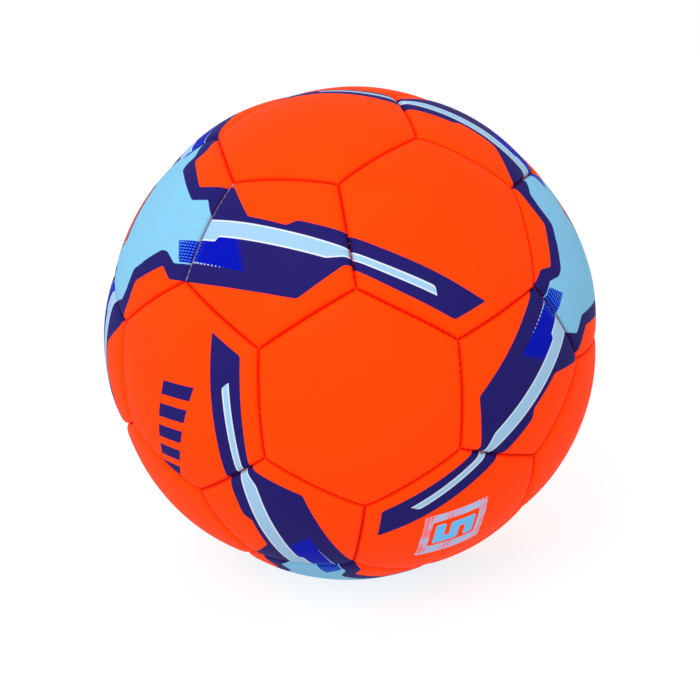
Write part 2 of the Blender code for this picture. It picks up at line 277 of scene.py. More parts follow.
def fit_piece(piece, node, finish):
    """Give a piece its finish and put it in the place of its CAD node."""
    piece.data.materials.append(finish)
    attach(piece, "root")
    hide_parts(node)


def paint(code):
    """Linear colour of an sRGB hex code."""
    channels = [int(code[i:i + 2], 16) / 255.0 for i in (0, 2, 4)]
    return (*[c / 12.92 if c <= 0.04045 else ((c + 0.055) / 1.055) ** 2.4 for c in channels], 1.0)


def add_node(tree, kind, inputs=None, **settings):
    """Add a node with its settings. An input is a value or the socket that feeds it."""
    node = tree.nodes.new(kind)
    for setting, value in settings.items():
        setattr(node, setting, value)
    for socket, value in (inputs or {}).items():
        if isinstance(value, bpy.types.NodeSocket):
            tree.links.new(value, node.inputs[socket])
        else:
            node.inputs[socket].default_value = value
    return node


def printed_pu(name, draw_print=None):
    """Printed PU skin: satin, with a fine pebble grain and a faint mottle in the orange.

    The skin is 0.9 mm thick. Below it the cut edge shows the white foam and cloth.
    """
    made = bpy.data.materials.new(name)
    made.use_nodes = True
    tree = made.node_tree
    shader = tree.nodes["Principled BSDF"]
    on_ball = add_node(tree, "ShaderNodeTexCoord").outputs["Object"]
    place = add_node(tree, "ShaderNodeAttribute", attribute_name="print_place").outputs["Vector"]
    depth = add_node(tree, "ShaderNodeSeparateXYZ", {0: place}).outputs[2]

    # Patches of 20 mm or so, a shade darker than the rest.
    mottle = add_node(
        tree, "ShaderNodeTexNoise", {"Vector": on_ball, "Scale": 45.0, "Detail": 3.0},
    ).outputs[0]
    colour = add_node(
        tree, "ShaderNodeMix", {0: mottle, 6: paint(ORANGE_DARK), 7: paint(ORANGE_LIGHT)},
        data_type="RGBA",
    ).outputs[2]
    if draw_print:
        colour = draw_print(tree, place, colour)
    # Painted shade: the face turns a deeper red over its last millimetre before the seam, where the
    # groove shades it.
    seam_shade = add_node(
        tree, "ShaderNodeMapRange",
        {"Value": depth, "From Min": SEAM_SHADE_REACH[0], "From Max": SEAM_SHADE_REACH[1]},
    ).outputs[0]
    colour = add_node(
        tree, "ShaderNodeMix", {0: seam_shade, 6: colour, 7: paint(SEAM_SHADE_TINT)},
        data_type="RGBA", blend_type="MULTIPLY",
    ).outputs[2]
    under_skin = add_node(
        tree, "ShaderNodeMapRange",
        {"Value": depth, "From Min": SKIN_END[0], "From Max": SKIN_END[1]},
    ).outputs[0]
    colour = add_node(
        tree, "ShaderNodeMix", {0: under_skin, 6: colour, 7: paint(FOAM_WHITE)},
        data_type="RGBA",
    ).outputs[2]
    tree.links.new(colour, shader.inputs["Base Color"])

    # Grain cells of 0.7 mm, which is twice the real size, so that they show, on ripples of 3 mm.
    grain = add_node(
        tree, "ShaderNodeTexVoronoi", {"Vector": on_ball, "Scale": 1400.0},
        feature="SMOOTH_F1",
    )
    ripple = add_node(
        tree, "ShaderNodeTexNoise", {"Vector": on_ball, "Scale": 320.0, "Detail": 2.0},
    )
    height = add_node(
        tree, "ShaderNodeMath", {0: ripple.outputs[0], 1: 1.2, 2: grain.outputs[0]},
        operation="MULTIPLY_ADD",
    )
    bump = add_node(
        tree, "ShaderNodeBump",
        {"Height": height.outputs[0], "Strength": 0.35, "Distance": 0.03 * MM},
    )
    tree.links.new(bump.outputs[0], shader.inputs["Normal"])
    gloss = add_node(
        tree, "ShaderNodeMapRange", {"Value": mottle, "To Min": 0.54, "To Max": 0.62},
    )
    tree.links.new(gloss.outputs[0], shader.inputs["Roughness"])
    shader.inputs["IOR"].default_value = 1.47
    shader.inputs["Specular IOR Level"].default_value = 0.025
    return made


PLAIN_PANELS = (1, 12, 14, 16)
plain_pu = printed_pu("satin_pu_skin_orange")
for number in PLAIN_PANELS:
    corners = hexagons[number - 1]
    name = f"hex_panel_{number:02d}"
    piece = panel(f"plain_{name}", corners, middle_of(pentagons[0]) + Vector((0.1, 0.2, 0.3)))
    fit_piece(piece, name, plain_pu)


# ---- Tail panels -----------------------------------------------------------------------
# Ten hexagons on which the band of the next pentagon runs out in a slanted navy tail with
# a light blue stripe. The ink is screen-printed on the skin before the panels are cut, so
# each panel's print sits a millimetre or two off its neighbour's.

INK_NAVY = "1E185B"
INK_SKY = "72ADCD"
INK_STRIPE = "8BAFCB"
INK_WHITE = "C8D0DA"
# The print's own axes have the band enter from -x. All places are in millimetres.
TAIL_UPPER = ((-46.0, -0.2), (12.4, -32.6), (12.8, -60.0))
TAIL_LOWER = ((-46.0, -14.8), (-1.8, -40.4), (12.4, -32.5), (20.0, -28.3))
STRIPE_UPPER = ((-46.0, -7.2), (-42.0, -9.3), (-9.5, -26.3), (-9.0, -30.4), (-8.0, -60.0))
STRIPE_LOWER = ((-46.0, -10.8), (-42.0, -13.0), (-9.0, -30.3), (0.0, -35.0))
STRIPE_EDGE = 0.6  # width of the stripe's white edges
# How far the print is off on three panels. On the rest it is 0.9 mm at most each way.
TAIL_SLIPS = {2: (-0.3, 0.8), 3: (2.4, 0.6), 4: (0.0, -0.4)}
TAIL_TURN = math.radians(-144.0)  # from the star to the tail, two seams round a pentagon

STAR_PANELS = (5, 7, 9, 20)
BARS_PANEL = 3
SIZE_PANEL = 4
star_middles = [middle_of(hexagons[number - 1]) for number in STAR_PANELS]


def tail_hexagon(pentagon):
    """Direction of the hexagon into which a pentagon's band runs on as a tail."""
    middle = middle_of(pentagon)
    nearest_star = max(star_middles, key=middle.dot)
    return Matrix.Rotation(TAIL_TURN, 3, middle) @ nearest_star


def rounded_off(points, reach=1.1):
    """The points of a line whose corners are rounded off, as a print screen leaves them."""
    line = [Vector(point) for point in points]
    rounded = [line[0]]
    for before, corner, after in zip(line, line[1:], line[2:]):
        into = before - corner
        out_of = after - corner
        into *= min(reach / into.length, 0.45)
        out_of *= min(reach / out_of.length, 0.45)
        rounded += [corner + into, corner + (into + out_of) / 4.0, corner + out_of]
    return rounded + [line[-1]]


def drawn_line(tree, x, points):
    """Height of the line through points in mm, for each place across."""
    curve = add_node(tree, "ShaderNodeFloatCurve", {"Value": x})
    curve.mapping.use_clip = False
    line = curve.mapping.curves[0]
    for i, (across, up) in enumerate(rounded_off(points)):
        point = line.points[i] if i < 2 else line.points.new(across, up)
        point.location = (across, up)
        point.handle_type = "VECTOR"
    curve.mapping.update()
    return curve.outputs[0]


def between(tree, place, upper, lower):
    """How many mm a place lies inside the area between two drawn lines."""
    parts = add_node(tree, "ShaderNodeSeparateXYZ", {0: place})
    x, y = parts.outputs[0], parts.outputs[1]
    below = add_node(
        tree, "ShaderNodeMath", {0: drawn_line(tree, x, upper), 1: y}, operation="SUBTRACT",
    )
    above = add_node(
        tree, "ShaderNodeMath", {0: y, 1: drawn_line(tree, x, lower)}, operation="SUBTRACT",
    )
    return add_node(
        tree, "ShaderNodeMath", {0: below.outputs[0], 1: above.outputs[0]}, operation="MINIMUM",
    ).outputs[0]


def lay_ink(tree, ground, ink, inside, margin=0.0, cover=1.0, soft=0.15):
    """Ink over a ground where a place lies more than a margin inside an area."""
    edge = add_node(
        tree, "ShaderNodeMapRange",
        {"Value": inside, "From Min": margin - soft, "From Max": margin + soft, "To Max": cover},
    )
    return add_node(
        tree, "ShaderNodeMix", {0: edge.outputs[0], 6: ground, 7: paint(ink)}, data_type="RGBA",
    ).outputs[2]


def draw_tail(tree, place, ground):
    """The navy tail, and in it a light blue stripe with white edges."""
    colour = lay_ink(tree, ground, INK_NAVY, between(tree, place, TAIL_UPPER, TAIL_LOWER))
    stripe = between(tree, place, STRIPE_UPPER, STRIPE_LOWER)
    colour = lay_ink(tree, colour, INK_WHITE, stripe)
    return lay_ink(tree, colour, INK_STRIPE, stripe, margin=STRIPE_EDGE)


def fit_tail_panel(number, finish):
    """Make a tail panel whose print comes in from its own pentagon."""
    corners = hexagons[number - 1]
    middle = middle_of(corners)
    source = max(pentagons, key=lambda pentagon: tail_hexagon(pentagon).dot(middle))
    slip = TAIL_SLIPS.get(number, (0.9 * math.sin(2.1 * number), 0.9 * math.cos(3.7 * number)))
    name = f"hex_panel_{number:02d}"
    piece = panel(f"tail_{name}", corners, -middle_of(source), slip)
    fit_piece(piece, name, finish)


tail_pu = printed_pu("satin_pu_skin_navy_tail", draw_tail)
other_panels = (*PLAIN_PANELS, *STAR_PANELS, BARS_PANEL, SIZE_PANEL)
for number in range(1, len(hexagons) + 1):
    if number not in other_panels:
        fit_tail_panel(number, tail_pu)


# ---- Tail panel with the row of bars ---------------------------------------------------
# One tail panel that also has a decorative row of slanted navy bars beside the tail, in
# the same screen-printed ink. It is a plain pattern and stands for nothing.

BAR_ROW_MIDDLE = (-18.6, 16.0, 0.0)
BAR_ROW_ANGLE = math.radians(129.0)
BAR_ROW_LENGTH = 64.0
BARS = 6
BAR_SHARE = 0.30  # half a bar's width, as a share of the pitch
BAR_SLANT = 0.35
BAR_REACHES = (8.0, 4.5)  # half a bar's length at the two ends of the row


def draw_bars(tree, place, ground):
    """The tail, and the bars, which get shorter along their row."""
    colour = draw_tail(tree, place, ground)
    row = add_node(
        tree, "ShaderNodeMapping",
        {"Vector": place, "Location": BAR_ROW_MIDDLE, "Rotation": (0.0, 0.0, BAR_ROW_ANGLE)},
        vector_type="TEXTURE",
    )
    parts = add_node(tree, "ShaderNodeSeparateXYZ", {0: row.outputs[0]})
    pitch = BAR_ROW_LENGTH / BARS
    along = add_node(
        tree, "ShaderNodeMath", {0: parts.outputs[1], 1: BAR_SLANT, 2: parts.outputs[0]},
        operation="MULTIPLY_ADD",
    )
    # A whole number of pitches is added, so that the remainder is never negative.
    step = add_node(
        tree, "ShaderNodeMath", {0: along.outputs[0], 1: BARS * pitch}, operation="ADD",
    )
    cell = add_node(tree, "ShaderNodeMath", {0: step.outputs[0], 1: pitch}, operation="MODULO")
    centred = add_node(
        tree, "ShaderNodeMath", {0: cell.outputs[0], 1: pitch / 2.0}, operation="SUBTRACT",
    )
    off = add_node(tree, "ShaderNodeMath", {0: centred.outputs[0]}, operation="ABSOLUTE")
    in_bar = add_node(
        tree, "ShaderNodeMath", {0: BAR_SHARE * pitch, 1: off.outputs[0]}, operation="SUBTRACT",
    )
    from_middle = add_node(tree, "ShaderNodeMath", {0: along.outputs[0]}, operation="ABSOLUTE")
    in_row = add_node(
        tree, "ShaderNodeMath", {0: BAR_ROW_LENGTH / 2.0, 1: from_middle.outputs[0]},
        operation="SUBTRACT",
    )
    height = add_node(
        tree, "ShaderNodeMapRange",
        {"Value": along.outputs[0], "From Min": -BAR_ROW_LENGTH / 2.0,
         "From Max": BAR_ROW_LENGTH / 2.0, "To Min": BAR_REACHES[0], "To Max": BAR_REACHES[1]},
    )
    aside = add_node(tree, "ShaderNodeMath", {0: parts.outputs[1]}, operation="ABSOLUTE")
    in_height = add_node(
        tree, "ShaderNodeMath", {0: height.outputs[0], 1: aside.outputs[0]}, operation="SUBTRACT",
    )
    inside = add_node(
        tree, "ShaderNodeMath", {0: in_bar.outputs[0], 1: in_row.outputs[0]}, operation="MINIMUM",
    )
    inside = add_node(
        tree, "ShaderNodeMath", {0: inside.outputs[0], 1: in_height.outputs[0]},
        operation="MINIMUM",
    )
    return lay_ink(tree, colour, INK_NAVY, inside.outputs[0])


fit_tail_panel(BARS_PANEL, printed_pu("satin_pu_skin_navy_tail_and_bars", draw_bars))


# ---- Tail panel with the size number ---------------------------------------------------
# One tail panel that also carries the size number, a light blue 5, in a frame of fine
# printed dots that runs from dense to sparse.

NUMBER_MIDDLE = (-1.6, -1.1, 0.0)
NUMBER_ANGLE = math.radians(208.6)
NUMBER_LEAN = 0.10
# Strokes of the 5 as left, right, bottom and top, in millimetres from its middle.
NUMBER_STROKES = ((-5.6, 7.6, 4.8, 9.3), (-5.6, -1.0, -0.6, 9.3), (-5.6, 7.0, -1.6, 2.6),
                  (2.4, 7.0, -8.4, 2.6), (-5.6, 7.0, -8.4, -4.2))
FRAME_OUTSIDE = (-14.4, 14.6, -13.4, 15.0)
FRAME_WINDOW = (-7.2, 10.0, -9.8, 11.2)
SCREEN_PITCH = 1.8  # of the frame's dots
DOT_REACHES = (0.22, 0.78)  # smallest and largest, as a share of the pitch
INK_NUMBER = "66B0E2"
INK_DOTS = "90B8DC"


def in_box(tree, place, left, right, bottom, top, rounding=1.4):
    """How many mm a place lies inside an upright box with rounded corners."""
    middle = ((left + right) / 2.0, (bottom + top) / 2.0, 0.0)
    core = ((right - left) / 2.0 - rounding, (top - bottom) / 2.0 - rounding, 100.0)
    offset = add_node(
        tree, "ShaderNodeVectorMath", {0: place, 1: middle}, operation="SUBTRACT",
    )
    away = add_node(tree, "ShaderNodeVectorMath", {0: offset.outputs[0]}, operation="ABSOLUTE")
    beyond = add_node(
        tree, "ShaderNodeVectorMath", {0: away.outputs[0], 1: core}, operation="SUBTRACT",
    )
    outside = add_node(
        tree, "ShaderNodeVectorMath", {0: beyond.outputs[0], 1: (0.0, 0.0, 0.0)},
        operation="MAXIMUM",
    )
    reach = add_node(tree, "ShaderNodeVectorMath", {0: outside.outputs[0]}, operation="LENGTH")
    return add_node(
        tree, "ShaderNodeMath", {0: rounding, 1: reach.outputs["Value"]}, operation="SUBTRACT",
    ).outputs[0]


def draw_number(tree, place, ground):
    """The tail, the dotted frame and the number in it."""
    colour = draw_tail(tree, place, ground)
    upright = add_node(
        tree, "ShaderNodeMapping",
        {"Vector": place, "Location": NUMBER_MIDDLE, "Rotation": (0.0, 0.0, NUMBER_ANGLE)},
        vector_type="TEXTURE",
    )
    parts = add_node(tree, "ShaderNodeSeparateXYZ", {0: upright.outputs[0]})
    leaned = add_node(
        tree, "ShaderNodeMath", {0: parts.outputs[1], 1: NUMBER_LEAN, 2: parts.outputs[0]},
        operation="MULTIPLY_ADD",
    )
    glyph = add_node(tree, "ShaderNodeCombineXYZ", {0: leaned.outputs[0], 1: parts.outputs[1]})
    glyph = glyph.outputs[0]

    window = in_box(tree, glyph, *FRAME_WINDOW)
    around = add_node(tree, "ShaderNodeMath", {0: window, 1: -1.0}, operation="MULTIPLY")
    border = add_node(
        tree, "ShaderNodeMath", {0: in_box(tree, glyph, *FRAME_OUTSIDE), 1: around.outputs[0]},
        operation="MINIMUM",
    )
    dots = add_node(
        tree, "ShaderNodeTexVoronoi",
        {"Vector": glyph, "Scale": 1.0 / SCREEN_PITCH, "Randomness": 0.0},
        voronoi_dimensions="2D",
    )
    # The dots are dense and sparse in patches of 10 mm or so.
    density = add_node(
        tree, "ShaderNodeTexNoise", {"Vector": glyph, "Scale": 0.09, "Detail": 1.0},
        noise_dimensions="2D",
    )
    size = add_node(
        tree, "ShaderNodeMapRange",
        {"Value": density.outputs[0], "From Min": 0.36, "From Max": 0.64,
         "To Min": DOT_REACHES[0], "To Max": DOT_REACHES[1]},
    )
    dot = add_node(
        tree, "ShaderNodeMath", {0: size.outputs[0], 1: dots.outputs[0]}, operation="SUBTRACT",
    )
    dotted = add_node(
        tree, "ShaderNodeMath", {0: border.outputs[0], 1: dot.outputs[0]}, operation="MINIMUM",
    )
    colour = lay_ink(tree, colour, INK_DOTS, border.outputs[0], cover=0.2)
    colour = lay_ink(tree, colour, INK_DOTS, dotted.outputs[0], cover=0.85)
    for stroke in NUMBER_STROKES:
        colour = lay_ink(tree, colour, INK_NUMBER, in_box(tree, glyph, *stroke))
    return colour


fit_tail_panel(SIZE_PANEL, printed_pu("satin_pu_skin_navy_tail_and_number", draw_number))


# ---- Star panels -----------------------------------------------------------------------
# Four hexagons with a light blue three-armed star with a navy edge. Each arm runs on over a
# seam into the band of a pentagon. The star at the back has the hole for the valve.

VALVE_HOLE = 4.5 * MM
# Outlines of the arms in millimetres, upper line and lower line, each with its arm turned to
# point along +x. Arm 0 is the star's own first arm, arm 1 is to its left and arm -1 to its
# right. The arms meet at 60 degrees to each side, and the notch behind arm 0 is the deepest.
STAR_EDGE = {
    0: (((0.0, 34.3), (26.5, 16.7), (37.0, 19.3), (47.0, 21.6)),
        ((0.0, -32.8), (27.0, -20.0), (33.2, -25.2), (47.0, -24.2))),
    1: (((0.0, 22.5), (22.7, 9.4), (30.5, 19.0), (47.0, 21.6)),
        ((0.0, -31.8), (21.1, -21.4), (27.0, -25.8), (36.5, -26.4), (47.0, -24.4))),
    -1: (((0.0, 36.4), (20.2, 22.0), (30.4, 23.2), (47.0, 22.2)),
         ((0.0, -22.5), (20.5, -11.2), (26.5, -20.8), (33.0, -25.0), (47.0, -24.2))),
}
STAR_SKY = {
    0: (((0.0, 25.3), (27.0, 10.0), (36.5, 12.2), (42.0, 6.3), (47.0, 0.2)),
        ((0.0, -26.3), (23.0, -13.5), (27.0, -13.7), (33.5, -18.0), (47.0, -16.0))),
    1: (((0.0, 19.1), (18.6, 8.3), (21.5, 6.8), (28.5, 11.0), (36.0, 12.2), (47.0, 0.2)),
        ((0.0, -25.7), (18.0, -15.0), (22.0, -16.0), (26.0, -19.2), (40.0, -17.2), (47.0, -16.0))),
    -1: (((0.0, 27.8), (17.9, 16.1), (28.0, 17.2), (34.4, 16.2), (42.0, 6.5), (47.0, 0.2)),
         ((0.0, -19.1), (18.0, -9.0), (25.5, -14.5), (34.0, -18.0), (47.0, -16.0))),
}
RULED_UPPER = ((20.0, -10.0), (31.5, -8.0), (47.0, -5.2))
RULED_LOWER = ((20.0, -6.0), (31.3, -7.8), (36.2, -17.0), (47.0, -15.2))
FLOURISHES = (((20.0, 3.6), (26.0, 2.6), (33.0, 2.6), (47.0, 5.6)),
              ((10.5, -17.4), (28.0, -7.0), (36.0, -3.0), (47.0, -0.2)))
FLOURISH_HALF_WIDTH = 0.3
ROW_PITCH = 1.3
ROW_SLOPE = 0.13
DOT_PITCH = 1.7
DOT_LENGTHENING = 0.65  # makes a dot longer along its row
STAR_DOT_RUN = (31.0, 56.0)  # from the largest dots to past the smallest
PALE_RIM_START = 42.3  # from the star's middle, past which the colour is blended towards a pale grey-blue
INK_ROYAL = "020E9C"
INK_ROWS = "3A78C6"
INK_FLOURISH = "7C9CB4"
PALE_RIM_GREY = "A9B2C8"
STAR_SLIPS = {7: (-0.6, 0.0)}
VALVE_PANEL = 20


def dotted_rows(tree, place, colour, inside, largest, smallest):
    """A block of royal blue with rows of light dots, which shrink from largest to smallest.

    A row is where a wave across the block is high, and a dot where one along it is too.
    """
    parts = add_node(tree, "ShaderNodeSeparateXYZ", {0: place})
    rise = add_node(
        tree, "ShaderNodeMath", {0: parts.outputs[0], 1: -ROW_SLOPE, 2: parts.outputs[1]},
        operation="MULTIPLY_ADD",
    )
    growth = add_node(
        tree, "ShaderNodeMapRange",
        {"Value": parts.outputs[0], "From Min": largest, "From Max": smallest, "To Min": 0.25,
         "To Max": -1.5},
    )
    dot = inside
    for run, pitch, lengthening in ((rise.outputs[0], ROW_PITCH, 0.0),
                                    (parts.outputs[0], DOT_PITCH, DOT_LENGTHENING)):
        phase = add_node(
            tree, "ShaderNodeMath", {0: run, 1: math.tau / pitch}, operation="MULTIPLY",
        )
        wave = add_node(tree, "ShaderNodeMath", {0: phase.outputs[0]}, operation="SINE")
        row = add_node(
            tree, "ShaderNodeMath", {0: wave.outputs[0], 1: growth.outputs[0]}, operation="ADD",
        )
        longer = add_node(
            tree, "ShaderNodeMath", {0: row.outputs[0], 1: lengthening}, operation="ADD",
        )
        dot = add_node(
            tree, "ShaderNodeMath", {0: dot, 1: longer.outputs[0]}, operation="MINIMUM",
        ).outputs[0]
    colour = lay_ink(tree, colour, INK_ROYAL, inside)
    return lay_ink(tree, colour, INK_ROWS, dot, soft=0.2)


def in_star(tree, arm, nearest, outlines):
    """How many mm a place lies inside the star, with each arm drawn by its own outlines."""
    inside = between(tree, arm, *outlines[0])
    for side in (1, -1):
        on_arm = add_node(
            tree, "ShaderNodeMath", {0: nearest, 1: float(side), 2: 0.5}, operation="COMPARE",
        )
        inside = add_node(
            tree, "ShaderNodeMix",
            {0: on_arm.outputs[0], 2: inside, 3: between(tree, arm, *outlines[side])},
        ).outputs[0]
    return inside


def near_line(tree, place, points, half_width):
    """How many mm a place lies inside the width of a line through points."""
    parts = add_node(tree, "ShaderNodeSeparateXYZ", {0: place})
    line = drawn_line(tree, parts.outputs[0], points)
    offset = add_node(
        tree, "ShaderNodeMath", {0: parts.outputs[1], 1: line}, operation="SUBTRACT",
    )
    aside = add_node(tree, "ShaderNodeMath", {0: offset.outputs[0]}, operation="ABSOLUTE")
    return add_node(
        tree, "ShaderNodeMath", {0: half_width, 1: aside.outputs[0]}, operation="SUBTRACT",
    ).outputs[0]


def draw_star(tree, place, ground):
    """The star, drawn in the arm that a place belongs to."""
    parts = add_node(tree, "ShaderNodeSeparateXYZ", {0: place})
    angle = add_node(
        tree, "ShaderNodeMath", {0: parts.outputs[1], 1: parts.outputs[0]}, operation="ARCTAN2",
    )
    thirds = add_node(
        tree, "ShaderNodeMath", {0: angle.outputs[0], 1: math.tau / 3.0}, operation="DIVIDE",
    )
    nearest = add_node(
        tree, "ShaderNodeMath", {0: thirds.outputs[0]}, operation="ROUND",
    ).outputs[0]
    back = add_node(
        tree, "ShaderNodeMath", {0: nearest, 1: -math.tau / 3.0}, operation="MULTIPLY",
    )
    arm = add_node(
        tree, "ShaderNodeVectorRotate", {"Vector": place, "Angle": back.outputs[0]},
        rotation_type="Z_AXIS",
    ).outputs[0]
    colour = lay_ink(tree, ground, INK_NAVY, in_star(tree, arm, nearest, STAR_EDGE))
    colour = lay_ink(tree, colour, INK_SKY, in_star(tree, arm, nearest, STAR_SKY))
    arm_parts = add_node(tree, "ShaderNodeSeparateXYZ", {0: arm})
    for flourish in FLOURISHES:
        within = near_line(tree, arm, flourish, FLOURISH_HALF_WIDTH)
        past = add_node(
            tree, "ShaderNodeMath", {0: arm_parts.outputs[0], 1: flourish[0][0]},
            operation="SUBTRACT",
        )
        drawn = add_node(
            tree, "ShaderNodeMath", {0: within, 1: past.outputs[0]}, operation="MINIMUM",
        )
        colour = lay_ink(tree, colour, INK_FLOURISH, drawn.outputs[0], cover=0.5)
    block = between(tree, arm, RULED_UPPER, RULED_LOWER)
    colour = dotted_rows(tree, arm, colour, block, *STAR_DOT_RUN)
    # Along the star's seams the colour is blended a little towards a pale grey-blue.
    past_pale_start = add_node(
        tree, "ShaderNodeMath", {0: arm_parts.outputs[0], 1: PALE_RIM_START}, operation="SUBTRACT",
    )
    return lay_ink(tree, colour, PALE_RIM_GREY, past_pale_start.outputs[0], cover=0.6)


star_pu = printed_pu("satin_pu_skin_sky_star", draw_star)
for number in STAR_PANELS:
    corners = hexagons[number - 1]
    middle = middle_of(corners)
    # The first arm points to the first pentagon that is next to the panel.
    first_band = next(band for band in map(middle_of, pentagons) if band.dot(middle) > 0.7)
    name = f"hex_panel_{number:02d}"
    hole = VALVE_HOLE if number == VALVE_PANEL else 0.0
    piece = panel(f"star_{name}", corners, first_band, STAR_SLIPS.get(number, (0.0, 0.0)), hole)
    fit_piece(piece, name, star_pu)


# ---- Pentagon panels -------------------------------------------------------------------
# Twelve pentagons, each crossed by a navy band that joins a star's arm to a tail. The band
# has a light blue stripe with white edges and a royal blue block that fades into the navy.

# Outlines in millimetres. The star is towards -x and the tail leaves at the upper right.
BAND_UPPER = ((-36.0, 21.8), (-28.5, 20.5), (-13.5, 9.4), (3.5, 11.3), (6.5, 14.8), (36.0, 20.6))
BAND_LOWER = ((-36.0, -24.6), (-28.0, -23.2), (20.0, -13.6), (31.6, 6.2), (40.0, 9.0))
BAND_STRIPE_UPPER = ((-36.0, 4.0), (-28.0, 4.5), (29.0, 12.8), (40.0, 13.8))
BAND_STRIPE_LOWER = ((-36.0, -5.9), (-22.6, -4.0), (-22.4, -1.9), (23.5, 5.4), (30.0, 9.2),
                     (40.0, 11.4))
ROYAL_UPPER = ((-36.0, -5.8), (-22.6, -3.9), (-22.4, -1.8), (10.0, 3.3))
ROYAL_LOWER = ((-36.0, -15.6), (10.0, -9.4))
ROYAL_SLANT = 0.74  # of the line along which the royal blue fades out
ROYAL_FADE = (-14.5, -11.3)
BAND_DOT_RUN = (-37.0, -25.0)
DASH_PITCH = 2.0
DASH_HALF_WIDTH = 0.25
DASH_RUN = (-29.0, -12.0)  # from the longest dashes to past the shortest
INK_DASHES = "B4C6E6"
BAND_SLIPS = {1: (1.0, -1.0), 2: (0.0, 0.0), 3: (2.8, -0.3)}


def draw_band(tree, place, ground):
    """The band from the star's seam to the tail's seam."""
    parts = add_node(tree, "ShaderNodeSeparateXYZ", {0: place})
    colour = lay_ink(tree, ground, INK_NAVY, between(tree, place, BAND_UPPER, BAND_LOWER))

    # The royal blue block ends in a slanted fade, and a row of white dashes runs under it.
    block = between(tree, place, ROYAL_UPPER, ROYAL_LOWER)
    slant = add_node(
        tree, "ShaderNodeMath", {0: parts.outputs[1], 1: ROYAL_SLANT, 2: parts.outputs[0]},
        operation="MULTIPLY_ADD",
    )
    fade = add_node(
        tree, "ShaderNodeMapRange",
        {"Value": slant.outputs[0], "From Min": ROYAL_FADE[0], "From Max": ROYAL_FADE[1],
         "To Min": 1.0, "To Max": 0.0},
    )
    rows = dotted_rows(tree, place, colour, block, *BAND_DOT_RUN)
    colour = add_node(
        tree, "ShaderNodeMix", {0: fade.outputs[0], 6: colour, 7: rows}, data_type="RGBA",
    ).outputs[2]
    within = near_line(tree, place, ROYAL_LOWER, DASH_HALF_WIDTH)
    run = add_node(
        tree, "ShaderNodeMath", {0: parts.outputs[0], 1: math.tau / DASH_PITCH},
        operation="MULTIPLY",
    )
    wave = add_node(tree, "ShaderNodeMath", {0: run.outputs[0]}, operation="SINE")
    thinning = add_node(
        tree, "ShaderNodeMapRange",
        {"Value": parts.outputs[0], "From Min": DASH_RUN[0], "From Max": DASH_RUN[1],
         "To Min": 1.0, "To Max": -1.3},
    )
    dash = add_node(
        tree, "ShaderNodeMath", {0: wave.outputs[0], 1: thinning.outputs[0]}, operation="ADD",
    )
    dashes = add_node(
        tree, "ShaderNodeMath", {0: within, 1: dash.outputs[0]}, operation="MINIMUM",
    )
    colour = lay_ink(tree, colour, INK_DASHES, dashes.outputs[0], cover=0.75)

    stripe = between(tree, place, BAND_STRIPE_UPPER, BAND_STRIPE_LOWER)
    colour = lay_ink(tree, colour, INK_WHITE, stripe)
    return lay_ink(tree, colour, INK_STRIPE, stripe, margin=STRIPE_EDGE)


band_pu = printed_pu("satin_pu_skin_navy_band", draw_band)
for number, corners in enumerate(pentagons, start=1):
    nearest_star = max(star_middles, key=middle_of(corners).dot)
    slip = BAND_SLIPS.get(number, (0.8 * math.sin(3.1 * number), 0.8 * math.cos(2.3 * number)))
    name = f"pent_panel_{number:02d}"
    piece = panel(f"band_{name}", corners, -nearest_star, slip)
    fit_piece(piece, name, band_pu)


# ---- Seam thread -----------------------------------------------------------------------
# Twisted polyester thread in dark red, and pale in the one seam that is closed by hand. A
# core runs in the notch between the panels' edges, and a short loop crosses at each stitch.

THREAD_RADIUS = 105.2 * MM
CORE_RADIUS = 0.36 * MM
CORE_STEPS = 10  # along a whole seam
SPOKE_SHARE = 0.498  # of the seam between two pentagons, so that their threads don't meet
CLOSING_PANEL = 2  # the pentagon whose seam with its star is closed last
LOOP_RADII = (106.55 * MM, 106.85 * MM)  # for the red thread and the pale thread
# Half the height, reach and width of a red loop, and of a pale one, which lies slanted.
LOOP_SIZES = ((0.32 * MM, 0.80 * MM, 0.42 * MM), (0.32 * MM, 0.45 * MM, 1.15 * MM))


def spun_polyester(name, dark, light):
    """Twisted polyester thread: matt, with the shadows between its plies."""
    made = bpy.data.materials.new(name)
    made.use_nodes = True
    tree = made.node_tree
    shader = tree.nodes["Principled BSDF"]
    on_ball = add_node(tree, "ShaderNodeTexCoord").outputs["Object"]
    # Plies of 0.4 mm lie across the thread.
    plies = add_node(
        tree, "ShaderNodeTexWave", {"Vector": on_ball, "Scale": 900.0, "Distortion": 4.0},
        bands_direction="DIAGONAL",
    ).outputs[1]
    fibre = add_node(
        tree, "ShaderNodeMix", {0: plies, 6: paint(dark), 7: paint(light)}, data_type="RGBA",
    )
    bump = add_node(
        tree, "ShaderNodeBump", {"Height": plies, "Strength": 0.6, "Distance": 0.05 * MM},
    )
    tree.links.new(fibre.outputs[2], shader.inputs["Base Color"])
    tree.links.new(bump.outputs[0], shader.inputs["Normal"])
    shader.inputs["Roughness"].default_value = 0.62
    shader.inputs["Specular IOR Level"].default_value = 0.1
    return made


red_thread = spun_polyester("twisted_polyester_thread_red", "780803", "9C1004")
pale_thread = spun_polyester("twisted_polyester_thread_pale", "545A8C", "7C84B0")


def on_seam(start, end, share, radius):
    """Frame at a share of a seam: x out from the ball, y across the seam and z along it."""
    angle = start.angle(end)
    true = start * math.sin(angle * (1.0 - share)) + end * math.sin(angle * share)
    out = strayed(true.normalized())
    across = start.cross(end).normalized()
    along = out.cross(across).normalized()
    across = along.cross(out)
    return Matrix.Translation(out * radius) @ Matrix((out, across, along)).transposed().to_4x4()


